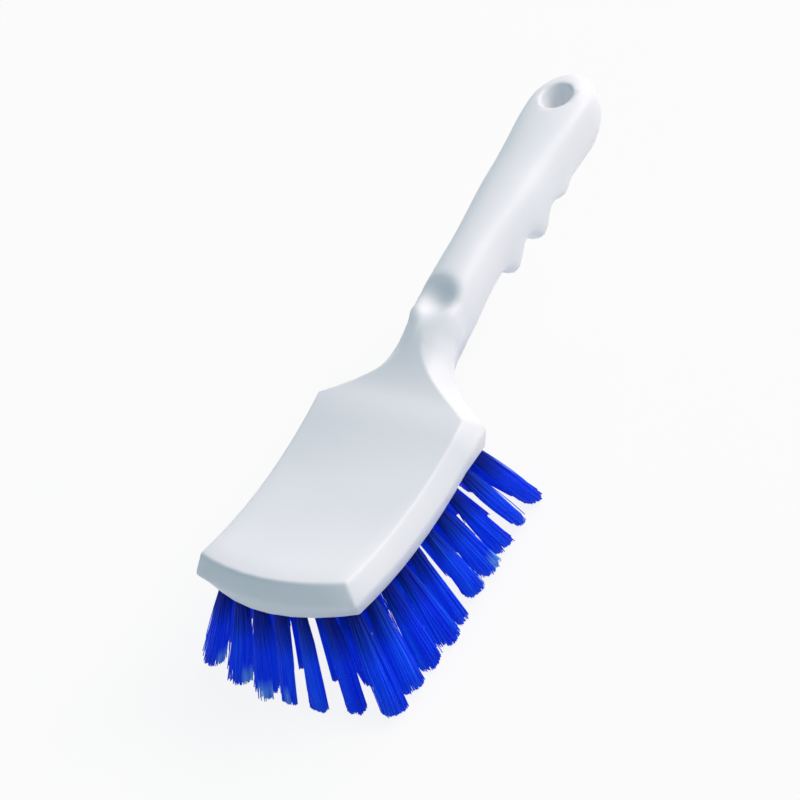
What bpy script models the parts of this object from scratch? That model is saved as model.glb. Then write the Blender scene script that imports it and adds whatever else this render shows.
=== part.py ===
"""Car wash brush: one moulded block with a scalloped handle, and tufts of blue bristles set in its sole.

Metres, +Z up. The brush stands on its bristle tips at Z = 0, the handle points along +X, and the
XZ plane is its plane of symmetry. Reach is the distance from the heel line, where the rear corners of
the head lie, towards the handle's end. The head has negative reach.
"""

import math
import random

import bmesh
import bpy
from mathutils import Matrix, Vector

# Head
HEAD_LENGTH = 0.087
HEAD_WIDTH = 0.067
FRONT_BOW = 0.0072
BACK_SAG = 0.0050
UPPER_WALL = 0.0087
LOWER_WALL = 0.0083
WALL_FLARE = 0.0036
WALL_TUCK = 0.0034
EDGE_ROUNDING = 0.0009

# Shoulders and neck
CORNER_FLARE_LENGTH = 0.0053
CORNER_FLARE_WIDTH = 0.0042
SHOULDER_ANGLE = math.radians(33)
CREST_PULL = 0.0240
TONGUE_PULL = 0.0220
NECK_REACH = 0.0380
OUTER_PULL = 0.0180
NECK_PULL = 0.0190
NECK_WIDTH = 0.0234
THROAT_REACH = 0.0420
THROAT_RISE = 0.0176
THROAT_THICKNESS = 0.0236
THROAT_PARTING = 0.0106
THROAT_WIDTH = 0.0222

# Handle
INDEX_REACH = 0.0680
INDEX_THICKNESS = 0.0198
GRIP_REACH = 0.1050
GRIP_RISE = 0.0258
GRIP_THICKNESS = 0.0212
GRIP_PARTING = 0.0125
GRIP_WIDTH = 0.0280
POMMEL_REACH = 0.1380
POMMEL_THICKNESS = 0.0262
TAIL_WIDTH = 0.0270
TAIL_LENGTH = 0.0155
TAIL_RISE = 0.0287
TAIL_DROP = 0.0018
TAIL_THICKNESS = 0.0145
TAIL_PARTING = 0.0058
TAIL_FILLET = 0.0050
HANDLE_REACH = 0.1575

# Finger ridges under the handle
FIRST_RIDGE_REACH = 0.0793
RIDGE_PITCH = 0.0174
RIDGE_HEIGHT = 0.0060

# Thumb dish on the handle's back
DISH_REACH = 0.0450
DISH_FRONT = 0.0145
DISH_REAR = 0.0078
DISH_WIDTH = 0.0204
DISH_DEPTH = 0.0070

# Hanging hole
HOLE_WIDTH = 0.0125
HOLE_RIM = 0.0024

# Tufts
TRIM_LENGTH = 0.0330
TUFT_WIDTH = 0.0044
TUFT_SEAT = 0.0090
FOLD_LENGTH = 0.0025
FOLD_THICKNESS = 0.0014
EDGE_INSET = 0.0045
HEEL_RUN = 0.0010
TIP_SPREAD = 0.0046
STRAND_GAP = 0.0003
LEAN_FRONT = 0.0136
LEAN_FRONT_FAR = 0.0072
LEAN_REAR = 0.0115
LEAN_SIDE_FRONT = 0.0138
LEAN_SIDE_REAR = 0.0070
LEAN_SIDE_BULGE = 0.0018
TIP_WANDER = 0.0005

# Fits
SEAT_GAP = 0.0003
OVERRUN = 0.0040
MERGE_DISTANCE = 0.0000001
SHARP_ANGLE = math.radians(35)

# Counts
TUFTS_ALONG = 10
TUFTS_ACROSS = 7
FIELD_ALONG = 7
FIELD_ACROSS = 4
TUFT_SIDES = 8
STATIONS_HEAD = 9
STATIONS_SHOULDER = 12
STATIONS_GRIP = 54
STATIONS_TAIL = 8
WIDEST = 7
FOOT = 9
HOLE_SEGMENTS = 28
RIM_SEGMENTS = 4
ROUNDING_SEGMENTS = 2
RANDOM_SEED = 7

# Each ridge's place in pitches from the first one, and its height against RIDGE_HEIGHT
RIDGE_SHARES = ((0.03, 1.42), (1.06, 1.42), (2.08, 0.60))
# Where the handle's back lies between the heel and the throat, as shares of the throat's reach and rise
RAMP_SHARES = ((0.13, 0.075), (0.32, 0.27), (0.63, 0.66), (0.82, 0.87))
# How full and how evenly spaced the section has become, against the share of the neck's reach
FULL_SHARES = ((0.0, 0.0), (0.30, 0.06), (0.55, 0.24), (0.80, 0.58), (1.0, 0.88), (1.20, 1.0))
EVEN_SHARES = ((0.0, 0.0), (0.68, 0.0), (0.95, 0.50), (1.20, 1.0))
# How late the sole's flat draws in to the middle along the neck
SOLE_TAPER_SHARE = 3.0
# Columns of the head's back and sole, as shares of its half width
COLUMN_SHARES = (0.0, 0.28, 0.54, 0.78)
# The front's bow fades out over this share of the head's length
BOW_FADE_SHARE = 0.5
# How full the oval section is above and below its widest line
BACK_FULLNESS_SHARE = 2.1
BELLY_FULLNESS_SHARE = 3.2
# How flat the thumb dish is in its middle
DISH_BOWL_SHARE = 2.1
RIDGE_SHARPNESS_SHARE = 1.2
# Alternate strands of a tuft end near its middle and at its rim
STRAND_SHARES = (0.45, 1.0)
STRAND_TIP_SHARE = 1.3

SLAB_THICKNESS = UPPER_WALL + LOWER_WALL
HEEL_LEVEL = TRIM_LENGTH + SLAB_THICKNESS + BACK_SAG
TAIL_CENTRE = HANDLE_REACH - TAIL_LENGTH
CREST = len(COLUMN_SHARES)
LAST = FOOT + CREST
SOLE_BOW = FRONT_BOW + WALL_TUCK
FIELD_LENGTH = HEAD_LENGTH - EDGE_INSET + HEEL_RUN

PLASTIC_COLOUR = (0.80, 0.83, 0.87, 1.0)
BRISTLE_COLOUR = (0.003, 0.025, 0.72, 1.0)
PLASTIC_ROUGHNESS = 0.42
BRISTLE_ROUGHNESS = 0.45


def clear_scene():
    for item in list(bpy.data.objects):
        bpy.data.objects.remove(item, do_unlink=True)


def make_collection(name):
    collection = bpy.data.collections.new(name)
    bpy.context.scene.collection.children.link(collection)
    return collection


def make_material(name, colour, roughness):
    material = bpy.data.materials.new(name)
    material.use_nodes = True
    shader = material.node_tree.nodes["Principled BSDF"]
    shader.inputs["Base Color"].default_value = colour
    shader.inputs["Roughness"].default_value = roughness
    shader.inputs["Metallic"].default_value = 0.0
    material.diffuse_color = colour
    return material


def add_object(name, bm, collection, material=None):
    mesh = bpy.data.meshes.new(name)
    bm.to_mesh(mesh)
    bm.free()
    item = bpy.data.objects.new(name, mesh)
    collection.objects.link(item)
    if material:
        mesh.materials.append(material)
    else:
        item.hide_render = True
        item.display_type = "WIRE"
    return item


def through(stops, place):
    """The value at a place on the smooth curve through (place, value) stops, which never overshoots."""
    if place <= stops[0][0]:
        return stops[0][1]
    if place >= stops[-1][0]:
        return stops[-1][1]
    spans = [b[0] - a[0] for a, b in zip(stops, stops[1:])]
    slopes = [(b[1] - a[1]) / span for (a, b), span in zip(zip(stops, stops[1:]), spans)]
    tangents = [slopes[0]]
    for before, after in zip(slopes, slopes[1:]):
        flat = before * after <= 0
        tangents.append(0 if flat else 2 * before * after / (before + after))
    tangents.append(slopes[-1])
    index = max(i for i in range(len(spans)) if stops[i][0] <= place)
    t = (place - stops[index][0]) / spans[index]
    start = (1 + 2 * t) * (1 - t) ** 2 * stops[index][1] + t * (1 - t) ** 2 * spans[index] * tangents[index]
    end = t * t * (3 - 2 * t) * stops[index + 1][1] - t * t * (1 - t) * spans[index] * tangents[index + 1]
    return start + end


def back_height(reach):
    """Height of the back above the heel, along the middle."""
    if reach <= 0:
        middle = reach / HEAD_LENGTH + 0.5
        return BACK_SAG * (4 * middle * middle - 1)
    ramp = [(THROAT_REACH * place, THROAT_RISE * rise) for place, rise in RAMP_SHARES]
    stops = [(0, 0)] + ramp
    stops += [(THROAT_REACH, THROAT_RISE), (GRIP_REACH, GRIP_RISE)]
    stops += [(TAIL_CENTRE, TAIL_RISE), (HANDLE_REACH, TAIL_RISE - TAIL_DROP)]
    return through(stops, reach)


def ridge_share(reach):
    """How much of a finger ridge stands at this reach, from 0 in a groove to about 1 on a crest."""
    total = 0
    for place, share in RIDGE_SHARES:
        away = abs(reach - FIRST_RIDGE_REACH - place * RIDGE_PITCH) * 2 / RIDGE_PITCH
        if away < 1:
            total += share * (0.5 + 0.5 * math.cos(math.pi * away)) ** RIDGE_SHARPNESS_SHARE
    return total


def thickness(reach):
    stops = ((0, SLAB_THICKNESS), (THROAT_REACH, THROAT_THICKNESS), (INDEX_REACH, INDEX_THICKNESS),
             (GRIP_REACH, GRIP_THICKNESS), (POMMEL_REACH, POMMEL_THICKNESS), (HANDLE_REACH, TAIL_THICKNESS))
    return through(stops, reach) + RIDGE_HEIGHT * ridge_share(reach)


def parting_depth(reach):
    """Depth of the parting line, the widest line of each section, below the back."""
    stops = ((0, UPPER_WALL), (THROAT_REACH, THROAT_PARTING), (GRIP_REACH, GRIP_PARTING),
             (TAIL_CENTRE, TAIL_PARTING), (HANDLE_REACH, TAIL_PARTING))
    return through(stops, reach)


def half_width(reach):
    """Half width of the oval section."""
    if reach > TAIL_CENTRE:
        return TAIL_WIDTH / 2 * math.sqrt(max(0, 1 - ((reach - TAIL_CENTRE) / TAIL_LENGTH) ** 2))
    stops = ((NECK_REACH, NECK_WIDTH / 2), (THROAT_REACH, THROAT_WIDTH / 2), (INDEX_REACH, THROAT_WIDTH / 2),
             (GRIP_REACH, GRIP_WIDTH / 2), (TAIL_CENTRE, TAIL_WIDTH / 2))
    return through(stops, reach)


def end_rounding(reach):
    """How far the back and the underside draw together over the fillet at the handle's end."""
    into = (reach - HANDLE_REACH + TAIL_FILLET) / TAIL_FILLET
    if into <= 0:
        return 0
    return TAIL_FILLET * (1 - math.sqrt(max(0, 1 - into * into)))


def dish_depth(x, y):
    """Depth of the thumb dish below the handle's back, with a soft rim and a steeper end towards the grip."""
    length = DISH_FRONT if x < DISH_REACH else DISH_REAR
    away = math.hypot((x - DISH_REACH) / length, 2 * y / DISH_WIDTH)
    return DISH_DEPTH * max(0, 1 - away ** DISH_BOWL_SHARE) ** 2


def neck_share(shares, reach):
    """A share that changes along the neck, read from its (place, share) stops."""
    return through([(NECK_REACH * place, share) for place, share in shares], reach)


def bezier(controls, t):
    weights = ((1 - t) ** 3, 3 * t * (1 - t) ** 2, 3 * t * t * (1 - t), t ** 3)
    return sum((c * w for c, w in zip(controls, weights)), Vector((0, 0)))


def shoulder(t):
    """Crest, widest and foot point of a shoulder section: a tongue of the head's back runs up the neck."""
    lean = Vector((math.sin(SHOULDER_ANGLE), -math.cos(SHOULDER_ANGLE)))
    corner = Vector((0, HEAD_WIDTH / 2))
    tongue = Vector((NECK_REACH, 0))
    crest = bezier((corner, corner + lean * CREST_PULL, tongue - Vector((TONGUE_PULL, 0)), tongue), t)
    outer = corner + Vector((CORNER_FLARE_LENGTH, CORNER_FLARE_WIDTH))
    neck = Vector((NECK_REACH, NECK_WIDTH / 2))
    widest = bezier((outer, outer + lean * OUTER_PULL, neck - Vector((NECK_PULL, 0)), neck), t)
    foot = widest - (widest - crest).normalized() * WALL_TUCK
    foot.y *= 1 - t ** SOLE_TAPER_SHARE
    return crest, widest, foot


def head_section(reach):
    """Crest, widest and foot point of a section of the head."""
    y = HEAD_WIDTH / 2
    return Vector((reach, y)), Vector((reach, y + WALL_FLARE)), Vector((reach, y + WALL_FLARE - WALL_TUCK))


def front_section():
    crest, widest, foot = head_section(-HEAD_LENGTH)
    return crest, widest - Vector((WALL_FLARE, 0)), foot - Vector((WALL_FLARE - WALL_TUCK, 0))


def handle_section(reach):
    return Vector((reach, 0)), Vector((reach, half_width(reach))), Vector((reach, 0))


def stations():
    """Crest, widest and foot point of each section, from the front corner to the handle's end."""
    found = [front_section()]
    found += [head_section(-HEAD_LENGTH * (1 - i / STATIONS_HEAD)) for i in range(1, STATIONS_HEAD)]
    found += [shoulder(i / STATIONS_SHOULDER) for i in range(STATIONS_SHOULDER)]
    for i in range(STATIONS_GRIP):
        found.append(handle_section(NECK_REACH + (TAIL_CENTRE - NECK_REACH) * i / STATIONS_GRIP))
    for i in range(STATIONS_TAIL + 1):
        found.append(handle_section(TAIL_CENTRE + TAIL_LENGTH * math.sin(math.pi / 2 * i / STATIONS_TAIL)))
    return found


def bowed(reach, y, bow):
    """Reach of a point of the head's back or sole, with the front's bow carried into it."""
    fade = max(0, 1 - (reach + HEAD_LENGTH) / (HEAD_LENGTH * BOW_FADE_SHARE))
    return reach - bow * fade * (1 - (2 * y / HEAD_WIDTH) ** 2)


def on_back(reach, y):
    x = bowed(reach, y, FRONT_BOW)
    return Vector((x, y, back_height(x) - dish_depth(x, y)))


def on_sole(reach, y):
    x = bowed(reach, y, SOLE_BOW)
    return Vector((x, y, back_height(x) - thickness(max(0, reach))))


def spread(edge_share, fullness, even, steps):
    """Shares of the half width where points lie: columns and a wall on the head, even steps on the handle."""
    slab = [edge_share * share for share in COLUMN_SHARES]
    wall = steps - len(slab)
    slab += [edge_share + (1 - edge_share) * i / wall for i in range(wall + 1)]
    oval = [math.sin(math.pi / 2 * i / steps) ** (2 / fullness) for i in range(steps + 1)]
    return [a + (b - a) * even for a, b in zip(slab, oval)]


def profile(edge, widest, surface, fullness, even, steps, fall, pinch):
    """Points from the middle to the widest line: on the surface as far as its edge, then down a wall."""
    edge_share = edge.y / widest.y if edge.y > 0 else 0
    points = []
    for share in spread(edge_share, fullness, even, steps):
        y = share * widest.y
        along = min(1, max(0, (share - edge_share) / (1 - edge_share)))
        x = edge.x + (widest.x - edge.x) * along
        point = surface(edge.x, min(y, edge.y) if edge.y > 0 else y)
        point.x += x - edge.x
        point.y = y
        point.z += pinch + (fall - pinch) * (1 - (1 - along ** fullness) ** (1 / fullness))
        points.append(point)
    return points


def section(crest, widest, foot):
    """Half of a section, from the middle of the back round to the middle of the underside."""
    reach = max(0, crest.x)
    full = neck_share(FULL_SHARES, reach)
    even = neck_share(EVEN_SHARES, reach)
    high = parting_depth(reach)
    low = thickness(reach) - high
    pinch = end_rounding(reach)
    above = 1 + (BACK_FULLNESS_SHARE - 1) * full
    below = 1 + (BELLY_FULLNESS_SHARE - 1) * full
    back = profile(crest, widest, on_back, above, even, WIDEST, -high, -pinch)
    sole = profile(foot, widest, on_sole, below, even, LAST - WIDEST, low, pinch)
    return back + sole[-2::-1]


def front_wall(corner):
    """Inner rows of the bowed front wall, from its top edge down, each from the middle to the corner."""
    crest, widest = corner[CREST], corner[WIDEST]
    rows = []
    for index in range(CREST + 1, FOOT):
        row = []
        for column in range(CREST):
            top, bottom = corner[column], corner[LAST - column]
            middle = top + widest - crest
            middle.y = top.y * widest.y / crest.y
            if index <= WIDEST:
                row.append(top.lerp(middle, (index - CREST) / (WIDEST - CREST)))
            else:
                row.append(middle.lerp(bottom, (index - WIDEST) / (FOOT - WIDEST)))
        rows.append(row)
    return rows


def block_mesh():
    """Half of the block, open at the plane of symmetry: sections joined end to end, and the front wall."""
    bm = bmesh.new()
    rings = [[bm.verts.new(point) for point in section(*station)] for station in stations()]
    for before, after in zip(rings, rings[1:]):
        for i in range(LAST):
            bm.faces.new((before[i], after[i], after[i + 1], before[i + 1]))
    first = rings[0]
    rows = [first[:CREST + 1]]
    for offset, points in enumerate(front_wall([v.co.copy() for v in first]), start=1):
        rows.append([bm.verts.new(point) for point in points] + [first[CREST + offset]])
    rows.append([first[LAST - column] for column in range(CREST + 1)])
    for above, below in zip(rows, rows[1:]):
        for i in range(CREST):
            bm.faces.new((above[i], above[i + 1], below[i + 1], below[i]))
    bm.normal_update()
    weigh_edges(bm, rings, rows)
    bmesh.ops.recalc_face_normals(bm, faces=bm.faces)
    return bm


def weigh_edges(bm, rings, rows):
    """Marks the edges to be rounded: the crest, the widest line and the foot, fading along the neck."""
    weight = bm.edges.layers.float.new("bevel_weight_edge")
    for before, after in zip(rings, rings[1:]):
        sharp = 1 - 2 * neck_share(EVEN_SHARES, after[CREST].co.x)
        if sharp <= 0:
            break
        crisp = max(0, 1 - 2 * neck_share(FULL_SHARES, after[CREST].co.x))
        bm.edges.get((before[CREST], after[CREST]))[weight] = crisp
        bm.edges.get((before[WIDEST], after[WIDEST]))[weight] = sharp
        bm.edges.get((before[FOOT], after[FOOT]))[weight] = sharp
    for row in (rows[0], rows[WIDEST - CREST], rows[FOOT - CREST]):
        for a, b in zip(row, row[1:]):
            bm.edges.get((a, b))[weight] = 1
    for index in range(CREST, FOOT):
        bm.edges.get((rings[0][index], rings[0][index + 1]))[weight] = 1


def tuft_roots():
    """Root points on the sole: one row round the edge, with a field inside it."""
    side = HEAD_WIDTH / 2 - EDGE_INSET
    front = -HEAD_LENGTH + EDGE_INSET
    length = FIELD_LENGTH
    edge = []
    for i in range(TUFTS_ALONG):
        for j in range(TUFTS_ACROSS):
            if i in (0, TUFTS_ALONG - 1) or j in (0, TUFTS_ACROSS - 1):
                edge.append((front + length * i / (TUFTS_ALONG - 1), side * (2 * j / (TUFTS_ACROSS - 1) - 1)))
    field = []
    for i in range(1, FIELD_ALONG + 1):
        for j in range(1, FIELD_ACROSS + 1):
            field.append((front + length * i / (FIELD_ALONG + 1), side * (2 * j / (FIELD_ACROSS + 1) - 1)))
    return edge, field


def tuft_place(reach, y):
    """Root point on the sole and tip point on the ground of a tuft, which fans out with its place."""
    root = on_sole(reach, y) + Vector((0, 0, HEEL_LEVEL))
    along = (reach + HEAD_LENGTH - EDGE_INSET) / FIELD_LENGTH
    aside = y / (HEAD_WIDTH / 2 - EDGE_INSET)
    lean_front = LEAN_FRONT + (LEAN_FRONT_FAR - LEAN_FRONT) * (1 + aside) / 2
    lean_x = LEAN_REAR * along - lean_front * (1 - along)
    bulge = LEAN_SIDE_BULGE * 4 * along * (1 - along)
    lean_y = aside * (LEAN_SIDE_FRONT + (LEAN_SIDE_REAR - LEAN_SIDE_FRONT) * along + bulge)
    return root, Vector((root.x + lean_x, y + lean_y, 0))


def along_tuft(root, tip):
    """Rotation that turns -Z along the tuft."""
    return (root - tip).to_track_quat("Z", "Y").to_matrix().to_4x4()


def hole_cutter(places, collection):
    """One prism for each tuft's blind hole, its flats parallel to the tuft's."""
    bm = bmesh.new()
    radius = TUFT_WIDTH / 2 + SEAT_GAP / math.cos(math.pi / TUFT_SIDES)
    depth = TUFT_SEAT + SEAT_GAP + OVERRUN
    for root, tip in places:
        lift = Matrix.Translation((0, 0, depth / 2 - OVERRUN))
        matrix = Matrix.Translation(root) @ along_tuft(root, tip) @ lift
        bmesh.ops.create_cone(bm, cap_ends=True, segments=TUFT_SIDES, radius1=radius, radius2=radius,
                              depth=depth, matrix=matrix)
    return add_object("tuft_hole_cutter", bm, collection)


def tuft_mesh(root, tip, rng):
    """A folded bundle of bristles: its seat in the hole, narrowed at the fold, and the fanned strands."""
    bm = bmesh.new()
    turn = along_tuft(root, tip)
    straight = TUFT_SEAT - FOLD_LENGTH
    matrix = turn @ Matrix.Translation((0, 0, straight / 2))
    bmesh.ops.create_cone(bm, cap_ends=True, segments=TUFT_SIDES, radius1=TUFT_WIDTH / 2,
                          radius2=TUFT_WIDTH / 2, depth=straight, matrix=matrix)
    axis = turn.to_3x3() @ Vector((0, 0, 1))
    caps = sorted((f for f in bm.faces if len(f.verts) == TUFT_SIDES), key=lambda f: f.normal.dot(axis))
    mouth, inner = caps[0], caps[-1]
    fold = bmesh.ops.extrude_discrete_faces(bm, faces=[inner])["faces"][0]
    squash = Matrix.Diagonal((1, FOLD_THICKNESS / TUFT_WIDTH, 1, 1))
    space = turn.inverted()
    bmesh.ops.transform(bm, matrix=squash, space=space, verts=fold.verts)
    bmesh.ops.translate(bm, vec=axis * FOLD_LENGTH, verts=fold.verts)
    sectors = bmesh.ops.poke(bm, faces=[mouth])["faces"]
    bmesh.ops.inset_individual(bm, faces=sectors, thickness=STRAND_GAP / 2, use_even_offset=True)
    ends = bmesh.ops.extrude_discrete_faces(bm, faces=sectors)["faces"]
    centre = tip - root
    for index, end in enumerate(ends):
        middle = end.calc_center_median()
        bearing = Vector((middle.x, middle.y)).normalized()
        reach = TIP_SPREAD * STRAND_SHARES[index % len(STRAND_SHARES)]
        wander = Vector((rng.uniform(-1, 1), rng.uniform(-1, 1))) * TIP_WANDER
        goal = centre + Vector((bearing.x * reach + wander.x, bearing.y * reach + wander.y, 0))
        for vert in end.verts:
            offset = (vert.co - middle) * STRAND_TIP_SHARE
            vert.co = Vector((goal.x + offset.x, goal.y + offset.y, goal.z))
    return bm


def make_tufts(name, places, collection, material, rng):
    made = []
    for index, (root, tip) in enumerate(places, start=1):
        tuft = add_object(f"{name}_{index:02d}", tuft_mesh(root, tip, rng), collection, material)
        tuft.location = root
        made.append(tuft)
    return made


def hang_hole_cutter(collection):
    """A turned cutter with flared mouths, which rounds the rims of the hanging hole."""
    top = HEEL_LEVEL + back_height(TAIL_CENTRE)
    bottom = top - thickness(TAIL_CENTRE)
    radius = HOLE_WIDTH / 2
    angles = [math.pi / 2 * step / RIM_SEGMENTS for step in range(RIM_SEGMENTS + 1)]
    flare = [(HOLE_RIM * (1 - math.cos(angle)), HOLE_RIM * math.sin(angle)) for angle in angles]
    profile = [(0, top + OVERRUN), (radius + HOLE_RIM, top + OVERRUN)]
    profile += [(radius + out, top - HOLE_RIM + up) for out, up in reversed(flare)]
    profile += [(radius + out, bottom + HOLE_RIM - up) for out, up in flare]
    profile += [(radius + HOLE_RIM, bottom - OVERRUN), (0, bottom - OVERRUN)]
    bm = bmesh.new()
    verts = [bm.verts.new((x, 0, z)) for x, z in profile]
    for a, b in zip(verts, verts[1:]):
        bm.edges.new((a, b))
    cutter = add_object("hang_hole_cutter", bm, collection)
    screw = cutter.modifiers.new("Turn", "SCREW")
    screw.axis = "Z"
    screw.steps = HOLE_SEGMENTS
    screw.render_steps = HOLE_SEGMENTS
    screw.use_merge_vertices = True
    screw.merge_threshold = MERGE_DISTANCE
    cutter.location = (TAIL_CENTRE, 0, 0)
    return cutter


def make_block(collection, material, cutters):
    block = add_object("handle_block", block_mesh(), collection, material)
    block.location = (0, 0, HEEL_LEVEL)
    mirror = block.modifiers.new("Other half", "MIRROR")
    mirror.use_axis = (False, True, False)
    mirror.merge_threshold = MERGE_DISTANCE
    bevel = block.modifiers.new("Edges", "BEVEL")
    bevel.limit_method = "WEIGHT"
    bevel.width = EDGE_ROUNDING
    bevel.segments = ROUNDING_SEGMENTS
    for cutter in cutters:
        cut = block.modifiers.new(cutter.name, "BOOLEAN")
        cut.operation = "DIFFERENCE"
        cut.solver = "EXACT"
        cut.object = cutter
    block.data.shade_smooth()
    block.data.set_sharp_from_angle(angle=SHARP_ANGLE)
    return block


def centre_on_origin(pieces, frame):
    """Shifts the frame so that the middle of the whole brush's length is at X = 0."""
    bpy.context.view_layer.update()
    graph = bpy.context.evaluated_depsgraph_get()
    reaches = []
    for piece in pieces:
        mesh = piece.evaluated_get(graph).to_mesh()
        reaches += [(piece.matrix_world @ vert.co).x for vert in mesh.vertices]
        piece.evaluated_get(graph).to_mesh_clear()
    frame.location.x = -(min(reaches) + max(reaches)) / 2


def main():
    clear_scene()
    brush = make_collection("car_wash_brush")
    cutting = make_collection("cutters")
    plastic = make_material("white_polypropylene", PLASTIC_COLOUR, PLASTIC_ROUGHNESS)
    bristle = make_material("blue_bristle", BRISTLE_COLOUR, BRISTLE_ROUGHNESS)
    rng = random.Random(RANDOM_SEED)
    edge, field = ([tuft_place(*root) for root in roots] for roots in tuft_roots())
    cutters = [hang_hole_cutter(cutting), hole_cutter(edge + field, cutting)]
    pieces = [make_block(brush, plastic, cutters)]
    pieces += make_tufts("edge_tuft", edge, brush, bristle, rng)
    pieces += make_tufts("field_tuft", field, brush, bristle, rng)
    frame = bpy.data.objects.new("brush_frame", None)
    brush.objects.link(frame)
    for item in pieces + cutters:
        item.parent = frame
    centre_on_origin(pieces, frame)


main()
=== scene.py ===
"""Dresses the car wash brush: its moulded block, its tufts of blue filament, and a pale stage for them.

Everything is in metres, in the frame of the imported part: the brush stands on its bristle tips at Z = 0,
and its handle points along +X. Reach is the distance from the heel line, where the rear corners of the
head lie, towards the handle's end.
"""

import math
import random

import bmesh
import bpy
from bpy.props import FloatProperty, FloatVectorProperty, IntProperty, PointerProperty
from mathutils import Matrix, Vector


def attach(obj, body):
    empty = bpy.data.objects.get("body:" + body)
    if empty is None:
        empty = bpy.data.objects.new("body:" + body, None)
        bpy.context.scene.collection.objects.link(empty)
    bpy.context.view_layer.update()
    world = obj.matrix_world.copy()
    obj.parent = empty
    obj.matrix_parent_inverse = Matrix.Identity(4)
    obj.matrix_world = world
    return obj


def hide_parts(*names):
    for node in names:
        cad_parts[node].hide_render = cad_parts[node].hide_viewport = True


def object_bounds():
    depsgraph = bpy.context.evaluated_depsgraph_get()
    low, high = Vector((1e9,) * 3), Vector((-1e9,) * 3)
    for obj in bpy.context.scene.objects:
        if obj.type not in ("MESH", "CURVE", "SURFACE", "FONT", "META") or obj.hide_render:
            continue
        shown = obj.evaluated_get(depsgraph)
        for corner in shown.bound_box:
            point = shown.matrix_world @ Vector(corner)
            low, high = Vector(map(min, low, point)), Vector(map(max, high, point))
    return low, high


bl_info = {
    "name": "Car Wash Brush",
    "version": (1, 0, 0),
    "blender": (4, 5, 0),
    "location": "3D Viewport > Sidebar > Brush",
    "description": "Builds the visible surfaces of a car wash brush around its solid parts",
    "category": "Object",
}

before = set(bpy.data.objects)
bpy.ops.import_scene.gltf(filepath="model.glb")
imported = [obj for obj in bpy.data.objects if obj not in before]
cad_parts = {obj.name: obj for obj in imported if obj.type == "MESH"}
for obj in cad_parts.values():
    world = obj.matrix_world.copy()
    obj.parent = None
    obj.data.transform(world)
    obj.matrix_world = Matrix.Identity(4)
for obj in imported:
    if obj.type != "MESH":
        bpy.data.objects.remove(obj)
CAD_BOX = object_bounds()

MM = 0.001
BLOCK_NODE = "handle_block"

# Where the part lies
HANDLE_REACH = 157.5 * MM
HEEL_X = CAD_BOX[1][0] - HANDLE_REACH
HEEL_LEVEL = 55.0 * MM
TUFT_SEAT = 9.0 * MM
TIP_SLICE = MM / 10
FOLD_SLICE = MM

# Photograph's view: the directions of its right, its up and towards the camera, and its scale
VIEW_RIGHT = Vector((0.502, -0.809, -0.304))
VIEW_UP = Vector((0.689, 0.162, 0.706))
PICTURE_SIDE = 800
PIXELS_PER_METRE = 2670
HEEL_PIXEL = (390.5, 406.0)
CAMERA_DISTANCE = 5.0
SENSOR_WIDTH = 36.0

# Sockets of a Mix node that mixes colours
MIX_FACTOR, MIX_A, MIX_B, MIX_RESULT = 0, 6, 7, 2

# Block
MERGE_DISTANCE = 0.001 * MM
SHARP_ANGLE = math.radians(38)
POLYPROPYLENE_IOR = 1.49
MILKINESS = 0.12
MILKY_DEPTH = 1.5 * MM
FLOW_DETAIL = 2.0
GRAIN_DETAIL = 3.0
EDGE_SAMPLES = 6

# Filaments: the turn from one to the next fills a round mouth evenly, as seeds do in a sunflower
POLYESTER_IOR = 1.57
FILAMENT_SIDES = 3
SUNFLOWER_TURN = math.radians(137.508)
MOUTH_DEPTH = 1.5 * MM
TUFT_MOUTH_RADIUS = 2.0 * MM
SPREAD_RANGE = (0.92, 1.12)
BOX_MARGIN = 0.3 * MM
RANDOM_SEED = 11

# Locks: how many a tuft has, and the range of their reach from its middle as a share of the tip spread. The
# higher a power is, the rarer are short locks and filaments, and the nearer to the rim its rounding starts.
LOCKS = 5
LOCK_REACH = (0.3, 0.8)
LOCK_CUT_POWER = 2
STRAND_CUT_POWER = 6
RIM_CUT_POWER = 3

# Partings between tufts that light passes through: the photograph's pixel at the block and at the tips, and
# half the width at each of them. Filaments out to the reach are pressed together to make room for a parting,
# which fades out above its first pixel. A tuft splits only where its heart, at this share of its length, lies
# within the split reach.
PARTINGS = (
    ((313, 617), (333, 700), 1.1 * MM, 2.0 * MM),
    ((291, 622), (299, 686), 0.4 * MM, 1.2 * MM),
    ((458, 487), (517, 532), 0.7 * MM, 1.3 * MM),
    ((419, 545), (470, 610), 0.6 * MM, 1.3 * MM),
    ((490, 485), (531, 512), 0.1 * MM, 1.7 * MM),
    ((357, 671), (369, 697), 0.1 * MM, 1.6 * MM),
)
PARTING_REACH = 7.0 * MM
PARTING_FADE = 0.35
HEART_SHARE = 0.5
SPLIT_REACH = 1.2 * MM

# The corner where the tufts' ends are worn pale, the chance of it there, and how pale a worn lock is at least
WORN_CORNER = (-118 * MM, 30 * MM)
WORN_RADIUS = 45 * MM
WORN_CORNER_CHANCE = 0.8
LEAST_PALE = 0.5

# Stage: the floor, and the directions of the lamps, their distance and their width
WHITE = (1, 1, 1, 1)
PAPER_WHITE = (0.9, 0.9, 0.9, 1)
FLOOR_SIDE = 16.0
SIDE_LAMP = (0.50, -0.55, 0.67)
BACK_LAMP = (0.80, 0.10, 0.60)
LAMP_DISTANCE = 3.0
LAMP_WIDTH = 1.7


def linear(text):
    """An sRGB hex colour as linear values, for a shader."""
    values = [int(text[i:i + 2], 16) / 255 for i in (1, 3, 5)]
    return tuple(v / 12.92 if v <= 0.04045 else ((v + 0.055) / 1.055) ** 2.4 for v in values)


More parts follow.
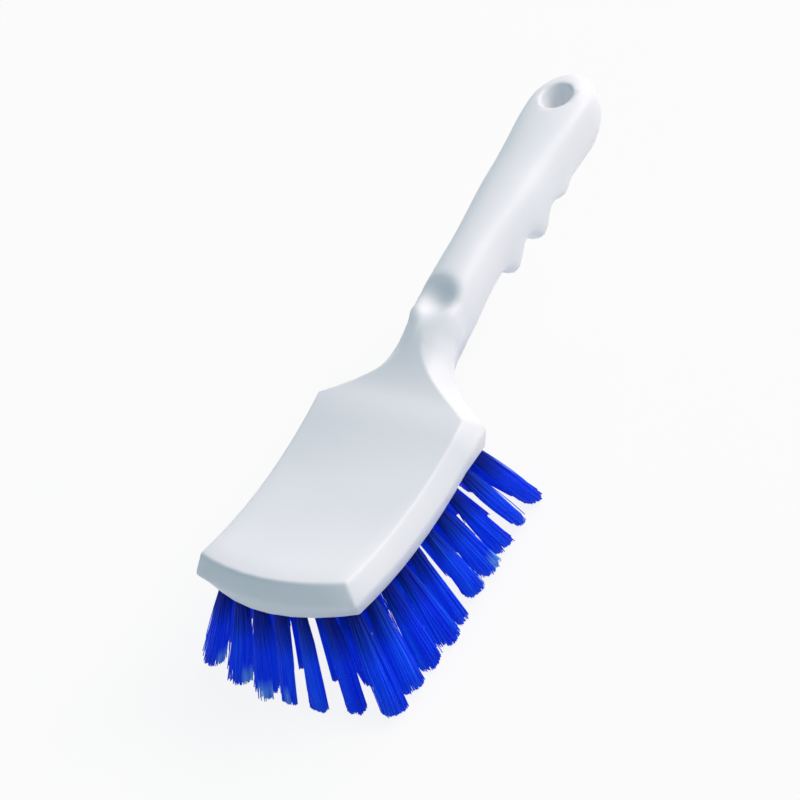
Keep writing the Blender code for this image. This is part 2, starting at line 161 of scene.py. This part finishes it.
def add_node(tree, kind, settings=None, links=None):
    """Adds a node, sets its sockets and properties by name or index, and links its inputs to sockets."""
    node = tree.nodes.new(kind)
    for key, value in (settings or {}).items():
        if isinstance(key, int) or key in node.inputs:
            node.inputs[key].default_value = value
        else:
            setattr(node, key, value)
    for key, socket in (links or {}).items():
        tree.links.new(socket, node.inputs[key])
    return node


def new_material(name):
    """An empty material of this name, and its node tree."""
    material = bpy.data.materials.new(name)
    material.use_nodes = True
    material.node_tree.nodes.clear()
    return material, material.node_tree


def moulded_polypropylene(settings):
    """Injection-moulded polypropylene: a milky white with a satin skin, a fine spark-eroded grain and a slow,
    cool drift of tone where the melt flowed, which keeps the large faces from looking printed."""
    material, tree = new_material("injection-moulded white polypropylene")
    place = add_node(tree, "ShaderNodeTexCoord").outputs["Object"]
    drift = add_node(
        tree,
        "ShaderNodeTexNoise",
        {"Scale": 1 / settings.flow_size, "Detail": FLOW_DETAIL},
        {"Vector": place},
    )
    tone = add_node(
        tree,
        "ShaderNodeMix",
        {"data_type": "RGBA", MIX_A: (*settings.shade_colour, 1), MIX_B: (*settings.colour, 1)},
        {MIX_FACTOR: drift.outputs["Fac"]},
    )
    # The real grain is about 0.1 mm, too fine to show at this size, so it is drawn coarser.
    grain = add_node(
        tree,
        "ShaderNodeTexNoise",
        {"Scale": 1 / settings.grain_size, "Detail": GRAIN_DETAIL},
        {"Vector": place},
    )
    low = settings.roughness - settings.roughness_drift
    high = settings.roughness + settings.roughness_drift
    gloss = add_node(
        tree,
        "ShaderNodeMapRange",
        {"To Min": low, "To Max": high},
        {"Value": grain.outputs["Fac"]},
    )
    # A mould's edges are never quite sharp: this rounds the light on them, where the mesh has a single edge.
    edges = add_node(tree, "ShaderNodeBevel", {"samples": EDGE_SAMPLES, "Radius": settings.edge_radius})
    bump = add_node(
        tree,
        "ShaderNodeBump",
        {"Strength": settings.grain_strength, "Distance": settings.grain_height},
        {"Height": grain.outputs["Fac"], "Normal": edges.outputs["Normal"]},
    )
    shader = add_node(
        tree,
        "ShaderNodeBsdfPrincipled",
        {
            "IOR": POLYPROPYLENE_IOR,
            "Subsurface Weight": MILKINESS,
            "Subsurface Radius": (1.0, 1.0, 1.0),
            "Subsurface Scale": MILKY_DEPTH,
        },
        {
            "Base Color": tone.outputs[MIX_RESULT],
            "Roughness": gloss.outputs["Result"],
            "Normal": bump.outputs["Normal"],
        },
    )
    add_node(tree, "ShaderNodeOutputMaterial", links={"Surface": shader.outputs["BSDF"]})
    return material


def extruded_filament(settings):
    """Extruded polyester filament: a deep blue with a satin gloss, darkened towards the roots by painted shade
    down in the tuft and lit above them by a little painted glow, varied from filament to filament, and pale at
    worn tips, where the split ends scatter light."""
    material, tree = new_material("extruded blue polyester filament")
    along = add_node(tree, "ShaderNodeAttribute", {"attribute_name": "along"}).outputs["Fac"]
    strand = add_node(tree, "ShaderNodeAttribute", {"attribute_name": "strand"}).outputs["Fac"]
    flagged = add_node(tree, "ShaderNodeAttribute", {"attribute_name": "flagged"}).outputs["Fac"]
    # Painted shade: near their roots the filaments are mixed towards a dark colour that stands in for the shade
    # down in the tuft.
    root_shade_fade = add_node(tree, "ShaderNodeMapRange", {"From Max": settings.root_share}, {"Value": along})
    body = add_node(
        tree,
        "ShaderNodeMix",
        {"data_type": "RGBA", MIX_A: (*settings.colour, 1), MIX_B: (*settings.bright_colour, 1)},
        {MIX_FACTOR: strand},
    )
    root_shaded = add_node(
        tree,
        "ShaderNodeMix",
        {"data_type": "RGBA", MIX_A: (*settings.root_shade_colour, 1)},
        {MIX_FACTOR: root_shade_fade.outputs["Result"], MIX_B: body.outputs[MIX_RESULT]},
    )
    end = add_node(
        tree,
        "ShaderNodeMapRange",
        {"From Min": settings.flag_share, "From Max": settings.flag_full},
        {"Value": along},
    )
    pale = add_node(
        tree,
        "ShaderNodeMath",
        {"operation": "MULTIPLY"},
        {0: end.outputs["Result"], 1: flagged},
    )
    tipped = add_node(
        tree,
        "ShaderNodeMix",
        {"data_type": "RGBA", MIX_B: (*settings.tip_colour, 1)},
        {MIX_FACTOR: pale.outputs["Value"], MIX_A: root_shaded.outputs[MIX_RESULT]},
    )
    # Light wanders from filament to filament far more often than is traced, so a little is given back here.
    glow = add_node(
        tree,
        "ShaderNodeMapRange",
        {"From Max": settings.root_share, "To Max": settings.glow},
        {"Value": along},
    )
    shader = add_node(
        tree,
        "ShaderNodeBsdfPrincipled",
        {"IOR": POLYESTER_IOR, "Specular IOR Level": settings.gloss, "Roughness": settings.roughness},
        {
            "Base Color": tipped.outputs[MIX_RESULT],
            "Emission Color": tipped.outputs[MIX_RESULT],
            "Emission Strength": glow.outputs["Result"],
        },
    )
    add_node(tree, "ShaderNodeOutputMaterial", links={"Surface": shader.outputs["BSDF"]})
    return material


def add_piece(name, bm, material):
    """A new object at the origin, with its place in its mesh."""
    mesh = bpy.data.meshes.new(name)
    bm.to_mesh(mesh)
    bm.free()
    mesh.materials.append(material)
    mesh.shade_smooth()
    piece = bpy.data.objects.new(name, mesh)
    bpy.context.scene.collection.objects.link(piece)
    return piece


def block_surface():
    """The block's own surface, its loose triangles merged so that it shades as one skin."""
    bm = bmesh.new()
    bm.from_mesh(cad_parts[BLOCK_NODE].data)
    bmesh.ops.remove_doubles(bm, verts=bm.verts, dist=MERGE_DISTANCE)
    return bm


def tuft_line(node):
    """Mouth of the hole and middle of the tips of a tuft, read from its solid."""
    points = [v.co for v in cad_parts[node].data.vertices]
    lowest = min(p.z for p in points)
    tips = [p for p in points if p.z < lowest + TIP_SLICE]
    tip = sum(tips, Vector()) / len(tips)
    top = max(points, key=lambda p: p.z)
    rough = (tip - top).normalized()
    nearest = min(p.dot(rough) for p in points)
    fold = [p for p in points if p.dot(rough) < nearest + FOLD_SLICE]
    top = sum(fold, Vector()) / len(fold)
    down = (tip - top).normalized()
    return top + down * TUFT_SEAT, tip


def view_axes():
    """The photograph's right, up and back, square to each other."""
    back = VIEW_RIGHT.cross(VIEW_UP).normalized()
    right = VIEW_RIGHT.normalized()
    return right, back.cross(right), back


def picture_point(u, v):
    """The point behind this pixel of the photograph, at the depth of the heel line."""
    right, up, _ = view_axes()
    across = right * (u - HEEL_PIXEL[0]) / PIXELS_PER_METRE
    return Vector((HEEL_X, 0, HEEL_LEVEL)) + across + up * (HEEL_PIXEL[1] - v) / PIXELS_PER_METRE


def comb(points, parting, heart):
    """Draws a filament to one side of a parting, all along the parting's length. Only a tuft whose heart lies
    close to the parting splits in two; any other goes to its heart's side as a whole."""
    root_pixel, tip_pixel, root_half, tip_half = parting
    root = picture_point(*root_pixel)
    length = (picture_point(*tip_pixel) - root).length
    down = (picture_point(*tip_pixel) - root) / length
    across = down.cross(view_axes()[2])
    beside = (heart - root).dot(across)
    if abs(beside) < SPLIT_REACH:
        beside = (points[len(points) // 2] - root).dot(across)
    side = math.copysign(1, beside)
    combed = []
    for point in points:
        share = (point - root).dot(down) / length
        away = (point - root).dot(across) * side
        half = root_half + (tip_half - root_half) * max(0, min(share, 1))
        half *= max(0, min(1 + share / PARTING_FADE, 1))
        if half > 0 and away < PARTING_REACH:
            squeezed = half + max(away, 0) * (1 - half / PARTING_REACH)
            point = point + across * side * max(squeezed - away, 0)
        combed.append(point)
    return combed


def make_locks(tip, settings, rng):
    """The small locks that a tuft's ends draw into: place, height of the cut, paleness, and tone."""
    corner = math.hypot(tip.x - WORN_CORNER[0], tip.y - WORN_CORNER[1])
    worn_chance = settings.worn_share + max(0, WORN_CORNER_CHANCE - corner / WORN_RADIUS)
    locks = []
    for index in range(LOCKS):
        turn = 2 * math.pi * (index + rng.random()) / LOCKS
        reach = settings.tip_spread * rng.uniform(*LOCK_REACH)
        cut = settings.uneven_cut * rng.random() ** LOCK_CUT_POWER
        pale = rng.uniform(LEAST_PALE, 1) if rng.random() < worn_chance else 0
        locks.append((Vector((math.cos(turn), math.sin(turn), 0)) * reach, cut, pale, rng.random()))
    return locks


def filament_paths(mouth, tip, settings, rng):
    """For each filament of a tuft, its points from the hole to its cut end, its end's paleness, and its tone."""
    down = (tip - mouth).normalized()
    across = down.cross(Vector((1, 0, 0))).normalized()
    beside = down.cross(across)
    locks = make_locks(tip, settings, rng)
    low, high = CAD_BOX
    edge = settings.radius + BOX_MARGIN
    centre = tip + Vector((rng.gauss(0, 1), rng.gauss(0, 1), 0)) * settings.tuft_stray
    heart = mouth.lerp(centre, HEART_SHARE)
    slant = Vector((rng.gauss(0, 1), rng.gauss(0, 1), 0)) * settings.slant
    spread = settings.tip_spread * rng.uniform(*SPREAD_RANGE)
    paths = []
    for index in range(settings.filaments):
        out = math.sqrt((index + 0.5) / settings.filaments)
        turn = index * SUNFLOWER_TURN
        near = (across * math.cos(turn) + beside * math.sin(turn)) * out * TUFT_MOUTH_RADIUS
        far = Vector((near.x, near.y, 0)) / TUFT_MOUTH_RADIUS * spread
        place, cut, pale, tone = min(locks, key=lambda lock: (lock[0] - far).length)
        far = far.lerp(place, rng.uniform(0, settings.locking))
        far += Vector((rng.gauss(0, 1), rng.gauss(0, 1), 0)) * settings.stray
        end = centre + far
        uneven = settings.uneven_cut * rng.random() ** STRAND_CUT_POWER
        cut += settings.rounded_cut * out ** RIM_CUT_POWER + uneven
        end.z = low.z + settings.radius + max(0, cut + far.dot(slant))
        start = mouth + near - down * MOUTH_DEPTH
        bend = Vector((rng.gauss(0, 1), rng.gauss(0, 1), 0)) * settings.bend
        points = []
        for step in range(settings.joints + 1):
            t = step / settings.joints
            points.append(start.lerp(end, t) + bend * 4 * t * (1 - t))
        for parting in PARTINGS:
            points = comb(points, parting, heart)
        for point in points:
            point.x = min(max(point.x, low.x + edge), high.x - edge)
            point.y = min(max(point.y, low.y + edge), high.y - edge)
            point.z = max(point.z, low.z + settings.radius)
        pale *= math.sqrt(rng.random())
        tone += (rng.random() - tone) * settings.tone_stray
        paths.append((points, pale, tone))
    return paths


def tuft_mesh(paths, settings, rng):
    """Grows every filament of a tuft at once, from its end in the hole, by extruding that face."""
    bm = bmesh.new()
    number = bm.faces.layers.int.new("number")
    along = bm.verts.layers.float.new("along")
    strand = bm.verts.layers.float.new("strand")
    flagged = bm.verts.layers.float.new("flagged")
    for index, (path, pale, tone) in enumerate(paths):
        turn = (path[0] - path[1]).to_track_quat("Z", "Y").to_matrix().to_4x4()
        spin = Matrix.Rotation(rng.uniform(0, 2 * math.pi), 4, "Z")
        made = bmesh.ops.create_circle(
            bm,
            cap_ends=True,
            segments=FILAMENT_SIDES,
            radius=settings.radius,
            matrix=Matrix.Translation(path[0]) @ turn @ spin,
        )
        for vert in made["verts"]:
            vert[strand] = tone
            vert[flagged] = pale
        made["verts"][0].link_faces[0][number] = index
    bm.normal_update()
    ends = list(bm.faces)
    for step in range(1, settings.joints + 1):
        ends = bmesh.ops.extrude_discrete_faces(bm, faces=ends)["faces"]
        for end in ends:
            path = paths[end[number]][0]
            move = path[step] - path[step - 1]
            for vert in end.verts:
                vert.co += move
                vert[along] = step / settings.joints
    bmesh.ops.recalc_face_normals(bm, faces=bm.faces)
    return bm


class BlockSettings(bpy.types.PropertyGroup):
    """Finish of the moulded block"""

    colour: FloatVectorProperty(
        name="Colour", description="Colour of the white plastic", subtype="COLOR", default=linear("#F6F8FB")
    )
    shade_colour: FloatVectorProperty(
        name="Drift colour", description="Slightly cooler tone that the white drifts to", subtype="COLOR",
        default=linear("#EAF0F4"),
    )
    roughness: FloatProperty(
        name="Roughness", description="Roughness of the satin skin", default=0.42, min=0, max=1
    )
    roughness_drift: FloatProperty(
        name="Roughness drift", description="How far the grain changes the roughness", default=0.05,
        min=0, max=1,
    )
    flow_size: FloatProperty(
        name="Flow size", description="Size of the slow drift of tone", default=60 * MM, unit="LENGTH"
    )
    grain_size: FloatProperty(
        name="Grain size", description="Width of the moulded grain as drawn", default=0.9 * MM, unit="LENGTH"
    )
    grain_height: FloatProperty(
        name="Grain height", description="Height of the moulded grain", default=0.02 * MM, unit="LENGTH"
    )
    edge_radius: FloatProperty(
        name="Edge radius", description="How widely the light rounds over the edges", default=1.5 * MM,
        unit="LENGTH",
    )
    grain_strength: FloatProperty(
        name="Grain strength", description="How strongly the grain tilts the surface", default=0.25,
        min=0, max=1,
    )


class BristleSettings(bpy.types.PropertyGroup):
    """Sizes, strays and colours of the filaments"""

    filaments: IntProperty(name="Filaments", description="Filaments in each tuft", default=330, min=3)
    joints: IntProperty(name="Joints", description="Straight lengths in each filament", default=5, min=1)
    radius: FloatProperty(
        name="Filament radius", description="Half the thickness of a filament", default=0.21 * MM,
        unit="LENGTH",
    )
    tip_spread: FloatProperty(
        name="Tip spread", description="Radius of a tuft at its tips", default=6.0 * MM, unit="LENGTH"
    )
    locking: FloatProperty(
        name="Locking", description="How far filaments draw together into locks", default=0.5,
        min=0, max=1,
    )
    stray: FloatProperty(
        name="Stray", description="How far the tips stray from their places", default=0.30 * MM,
        unit="LENGTH",
    )
    tuft_stray: FloatProperty(
        name="Tuft stray", description="How far a whole tuft strays at its tips", default=0.6 * MM,
        unit="LENGTH",
    )
    slant: FloatProperty(
        name="Slant", description="How steeply the cut ends of a tuft slant", default=0.12, min=0, max=1
    )
    worn_share: FloatProperty(
        name="Worn share", description="Share of the locks that have worn, pale ends", default=0.03,
        min=0, max=1,
    )
    tone_stray: FloatProperty(
        name="Tone stray", description="How far the tone of a filament strays from its lock's", default=0.5,
        min=0, max=1,
    )
    bend: FloatProperty(
        name="Bend", description="How far filaments bow between root and tip", default=0.35 * MM,
        unit="LENGTH",
    )
    uneven_cut: FloatProperty(
        name="Uneven cut", description="How far the shortest filaments end above the rest", default=1.8 * MM,
        unit="LENGTH",
    )
    rounded_cut: FloatProperty(
        name="Rounded cut", description="How far the rim of a tuft ends above its middle", default=1.8 * MM,
        unit="LENGTH",
    )
    colour: FloatVectorProperty(
        name="Colour", description="Colour of the darker filaments", subtype="COLOR",
        default=linear("#062EF0"),
    )
    bright_colour: FloatVectorProperty(
        name="Bright colour", description="Colour of the brighter filaments", subtype="COLOR",
        default=linear("#1464FF"),
    )
    # Painted shade: the dark colour mixed into the filaments near their roots, in place of the shade down in the
    # tuft.
    root_shade_colour: FloatVectorProperty(
        name="Root colour", description="Colour down in the tuft", subtype="COLOR",
        default=linear("#010D74"),
    )
    tip_colour: FloatVectorProperty(
        name="Tip colour", description="Colour of the split ends", subtype="COLOR",
        default=linear("#86D0FF"),
    )
    root_share: FloatProperty(
        name="Root share", description="Share of the length over which the root colour fades", default=0.55,
        min=0, max=1,
    )
    flag_share: FloatProperty(
        name="Flag share", description="Share of the length where the split ends begin", default=0.80,
        min=0, max=1,
    )
    flag_full: FloatProperty(
        name="Flag full", description="Share of the length from where the split ends are palest",
        default=0.92, min=0, max=1,
    )
    roughness: FloatProperty(
        name="Roughness", description="Roughness of the filaments", default=0.5, min=0, max=1
    )
    gloss: FloatProperty(
        name="Gloss", description="Strength of the filaments' gloss", default=0.15, min=0, max=1
    )
    glow: FloatProperty(
        name="Glow", description="Light that comes back from deeper in a tuft", default=0.15, min=0, max=1
    )


class StageSettings(bpy.types.PropertyGroup):
    """Light and floor"""

    side_power: FloatProperty(
        name="Side lamp", description="Power of the lamp at the right", default=60.0, unit="POWER"
    )
    back_power: FloatProperty(
        name="Back lamp", description="Power of the lamp beyond the handle", default=25.0, unit="POWER"
    )
    lamp_colour: FloatVectorProperty(
        name="Lamp colour", description="Colour of both lamps", subtype="COLOR", default=linear("#FFEBE5")
    )
    sky_strength: FloatProperty(
        name="Sky", description="Strength of the even light all round", default=0.40, min=0
    )
    sky_colour: FloatVectorProperty(
        name="Sky colour", description="Colour of the even light", subtype="COLOR", default=linear("#CDEFFF")
    )
    floor_glow: FloatProperty(
        name="Floor glow", description="Share of the floor's white that no shadow darkens", default=0.88,
        min=0, max=1,
    )


class BRUSH_OT_block(bpy.types.Operator):
    """Dress the moulded block"""

    bl_idname = "brush.block"
    bl_label = "Moulded Block"

    def execute(self, context):
        settings = context.scene.brush_block
        piece = add_piece("moulded_block", block_surface(), moulded_polypropylene(settings))
        piece.data.set_sharp_from_angle(angle=SHARP_ANGLE)
        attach(piece, "root")
        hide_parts(BLOCK_NODE)
        return {"FINISHED"}


class BRUSH_OT_tufts(bpy.types.Operator):
    """Grow the filaments of every tuft"""

    bl_idname = "brush.tufts"
    bl_label = "Bristle Tufts"

    def execute(self, context):
        settings = context.scene.brush_bristles
        rng = random.Random(RANDOM_SEED)
        material = extruded_filament(settings)
        for node in sorted(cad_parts):
            if node == BLOCK_NODE:
                continue
            paths = filament_paths(*tuft_line(node), settings, rng)
            piece = add_piece(node.replace("tuft", "filaments"), tuft_mesh(paths, settings, rng), material)
            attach(piece, "root")
            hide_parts(node)
        return {"FINISHED"}


def background_rays(tree):
    """1 for the rays that see the background: the camera's, gloss's and those through a clear thing."""
    rays = add_node(tree, "ShaderNodeLightPath").outputs
    seen = rays["Is Camera Ray"]
    for ray in ("Is Glossy Ray", "Is Transmission Ray"):
        both = add_node(tree, "ShaderNodeMath", {"operation": "MAXIMUM"}, {0: seen, 1: rays[ray]})
        seen = both.outputs["Value"]
    return seen


def stage_material(settings):
    """A pale floor: mostly its own white where the camera, gloss or a clear thing sees it, with the object's
    shadow on it."""
    material, tree = new_material("white paper sweep")
    glow = add_node(tree, "ShaderNodeEmission", {"Color": WHITE, "Strength": 1.0})
    paper = add_node(tree, "ShaderNodeBsdfDiffuse", {"Color": PAPER_WHITE})
    share = add_node(
        tree,
        "ShaderNodeMath",
        {"operation": "MULTIPLY", 1: settings.floor_glow},
        {0: background_rays(tree)},
    )
    mixed = add_node(
        tree,
        "ShaderNodeMixShader",
        links={0: share.outputs["Value"], 1: paper.outputs["BSDF"], 2: glow.outputs["Emission"]},
    )
    add_node(tree, "ShaderNodeOutputMaterial", links={"Surface": mixed.outputs["Shader"]})
    return material


def sky(settings):
    """Even light all round, which the camera, gloss and clear things see as plain white."""
    world = bpy.data.worlds.new("pale sky")
    world.use_nodes = True
    tree = world.node_tree
    tree.nodes.clear()
    even = add_node(
        tree,
        "ShaderNodeBackground",
        {"Color": (*settings.sky_colour, 1), "Strength": settings.sky_strength},
    )
    plain = add_node(tree, "ShaderNodeBackground", {"Color": WHITE, "Strength": 1.0})
    mixed = add_node(
        tree,
        "ShaderNodeMixShader",
        links={0: background_rays(tree), 1: even.outputs["Background"], 2: plain.outputs["Background"]},
    )
    add_node(tree, "ShaderNodeOutputWorld", links={"Surface": mixed.outputs["Shader"]})
    bpy.context.scene.world = world


def add_lamp(name, power, colour, direction, aim):
    """A square soft lamp that faces the object from this direction."""
    data = bpy.data.lights.new(name, "AREA")
    data.energy = power
    data.color = colour
    data.size = LAMP_WIDTH
    lamp = bpy.data.objects.new(name, data)
    away = Vector(direction).normalized()
    turn = away.to_track_quat("Z", "Y").to_matrix().to_4x4()
    lamp.matrix_world = Matrix.Translation(aim + away * LAMP_DISTANCE) @ turn
    bpy.context.scene.collection.objects.link(lamp)


def add_camera():
    """A long lens from the photograph's direction, so that its picture falls where the photograph's does."""
    right, up, back = view_axes()
    centre = picture_point(PICTURE_SIDE / 2, PICTURE_SIDE / 2)
    data = bpy.data.cameras.new("camera")
    data.sensor_width = SENSOR_WIDTH
    data.lens = SENSOR_WIDTH * CAMERA_DISTANCE * PIXELS_PER_METRE / PICTURE_SIDE
    data.clip_end = 4 * CAMERA_DISTANCE
    camera = bpy.data.objects.new("camera", data)
    turn = Matrix((right, up, back)).transposed().to_4x4()
    camera.matrix_world = Matrix.Translation(centre + back * CAMERA_DISTANCE) @ turn
    bpy.context.scene.collection.objects.link(camera)
    bpy.context.scene.camera = camera


class BRUSH_OT_stage(bpy.types.Operator):
    """Set the floor, the light and the camera"""

    bl_idname = "brush.stage"
    bl_label = "Stage"

    def execute(self, context):
        settings = context.scene.brush_stage
        bm = bmesh.new()
        bmesh.ops.create_grid(bm, x_segments=1, y_segments=1, size=FLOOR_SIDE / 2)
        floor = add_piece("floor", bm, stage_material(settings))
        sky(settings)
        aim = Vector((0, 0, HEEL_LEVEL))
        add_lamp("side_lamp", settings.side_power, settings.lamp_colour, SIDE_LAMP, aim)
        add_lamp("back_lamp", settings.back_power, settings.lamp_colour, BACK_LAMP, aim)
        add_camera()
        context.scene.view_settings.view_transform = "Standard"
        return {"FINISHED"}


class BRUSH_PT_panel(bpy.types.Panel):
    """Lists the settings and the pieces of the brush"""

    bl_idname = "BRUSH_PT_panel"
    bl_label = "Car Wash Brush"
    bl_space_type = "VIEW_3D"
    bl_region_type = "UI"
    bl_category = "Brush"

    def draw(self, context):
        for operator, group in zip(OPERATORS, GROUPS):
            box = self.layout.box()
            settings = getattr(context.scene, group)
            for name in settings.__annotations__:
                box.prop(settings, name)
            box.operator(operator.bl_idname)


GROUPS = {"brush_block": BlockSettings, "brush_bristles": BristleSettings, "brush_stage": StageSettings}
OPERATORS = (BRUSH_OT_block, BRUSH_OT_tufts, BRUSH_OT_stage)
CLASSES = (*GROUPS.values(), *OPERATORS, BRUSH_PT_panel)


def register():
    for item in CLASSES:
        bpy.utils.register_class(item)
    for name, group in GROUPS.items():
        setattr(bpy.types.Scene, name, PointerProperty(type=group))


def unregister():
    for name in GROUPS:
        delattr(bpy.types.Scene, name)
    for item in reversed(CLASSES):
        bpy.utils.unregister_class(item)


def main():
    """Builds the pieces and the stage."""
    register()
    bpy.ops.brush.block()
    bpy.ops.brush.tufts()
    bpy.ops.brush.stage()


if __name__ == "__main__":
    main()
